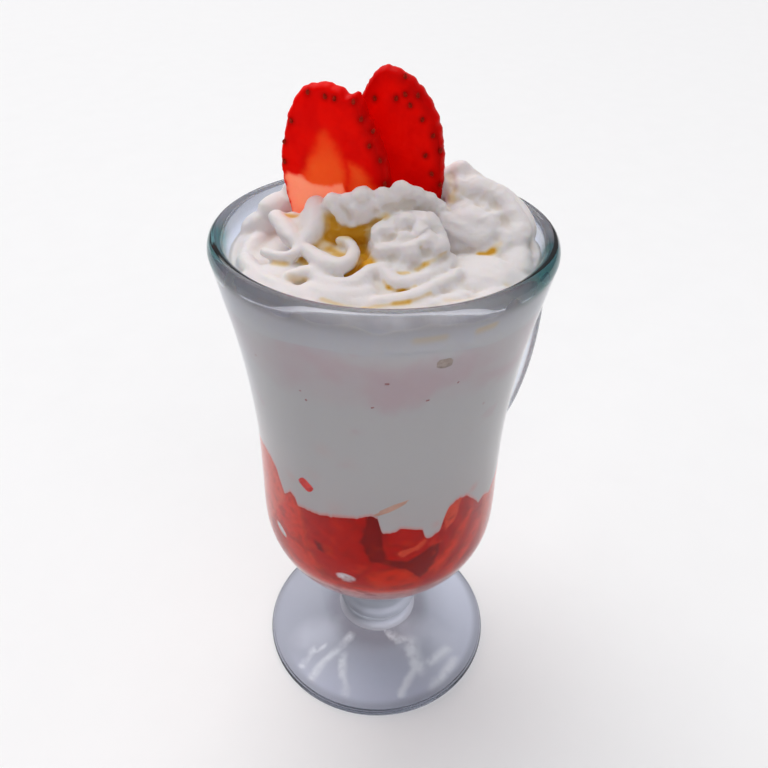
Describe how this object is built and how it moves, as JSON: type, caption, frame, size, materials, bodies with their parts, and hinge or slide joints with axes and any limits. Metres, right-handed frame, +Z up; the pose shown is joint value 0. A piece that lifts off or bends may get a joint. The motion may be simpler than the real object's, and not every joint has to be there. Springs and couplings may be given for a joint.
{
  "type": "strawberries and cream",
  "caption": "Footed clear glass mug with an ear handle, holding chopped strawberries, white cream and a pinkish cream layer, with whipped cream and standing strawberry slices on top.",
  "frame": {"origin": "on the glass's axis, at the flat underside of its foot", "axes": "+Z up; +X from the axis towards the handle; the side seen in the picture faces about 42 degrees from -Y towards -X"},
  "size_m": [0.0985, 0.076, 0.1692],
  "materials": {
    "glass": "clear pressed glass, smooth and shiny",
    "chopped_strawberry": "wet chopped fruit in its juice",
    "cream": "smooth thick cream",
    "pink_cream": "cream with a little fruit stirred in",
    "whipped_cream": "soft whipped cream, satin",
    "strawberry_slice": "moist cut fruit with seeds in its skin",
    "pale_crumb": "matt pale crumb"
  },
  "bodies": {
    "root": {"glass": "glass", "strawberry_layer": "chopped_strawberry", "cream_layer": "cream", "pink_cream_layer": "pink_cream", "whipped_cream": "whipped_cream", "strawberry_slice_left": "strawberry_slice", "strawberry_slice_right": "strawberry_slice", "strawberry_chip": "chopped_strawberry", "pale_crumb": "pale_crumb"}
  },
  "joints": []
}
